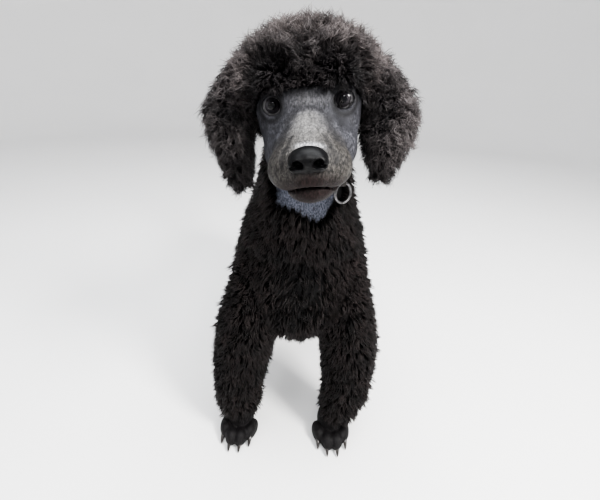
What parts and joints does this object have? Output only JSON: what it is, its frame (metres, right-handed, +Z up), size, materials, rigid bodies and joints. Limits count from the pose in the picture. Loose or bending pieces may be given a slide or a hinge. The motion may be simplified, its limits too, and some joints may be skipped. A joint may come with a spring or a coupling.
{
  "type": "standard poodle",
  "caption": "Life-size young standard poodle, standing square, with a rounded curly topknot and ears, shaved face and feet and a fluffy body coat.",
  "frame": {"origin": "on the floor, midway along and across the bounding box of the dog", "axes": "the dog faces -Y, its own left side is +X, +Z is up"},
  "size_m": [0.2236, 0.5398, 0.5221],
  "materials": {
    "coat": "dense curly black hair",
    "face": "clipped short grey black hair",
    "nose_leather": "moist pebbled black",
    "eye": "wet, very dark brown",
    "shaved_skin": "clipped black hair over skin",
    "band": "narrow dark band",
    "ring_metal": "bright metal ring"
  },
  "bodies": {
    "root": {"head": "face", "jaw": "face", "nose": "nose_leather", "eye_left": "eye", "eye_right": "eye", "topknot": "coat", "ear_left": "coat", "ear_right": "coat", "neck": "coat", "torso": "coat", "tail_stem": "shaved_skin", "tail_pompon": "coat", "collar": "band", "collar_ring": "ring_metal", "foreleg_left": "coat", "thigh_left": "coat", "shank_left": "coat", "paw_front_left": "shaved_skin", "paw_hind_left": "shaved_skin", "foreleg_right": "coat", "thigh_right": "coat", "shank_right": "coat", "paw_front_right": "shaved_skin", "paw_hind_right": "shaved_skin"}
  },
  "joints": []
}
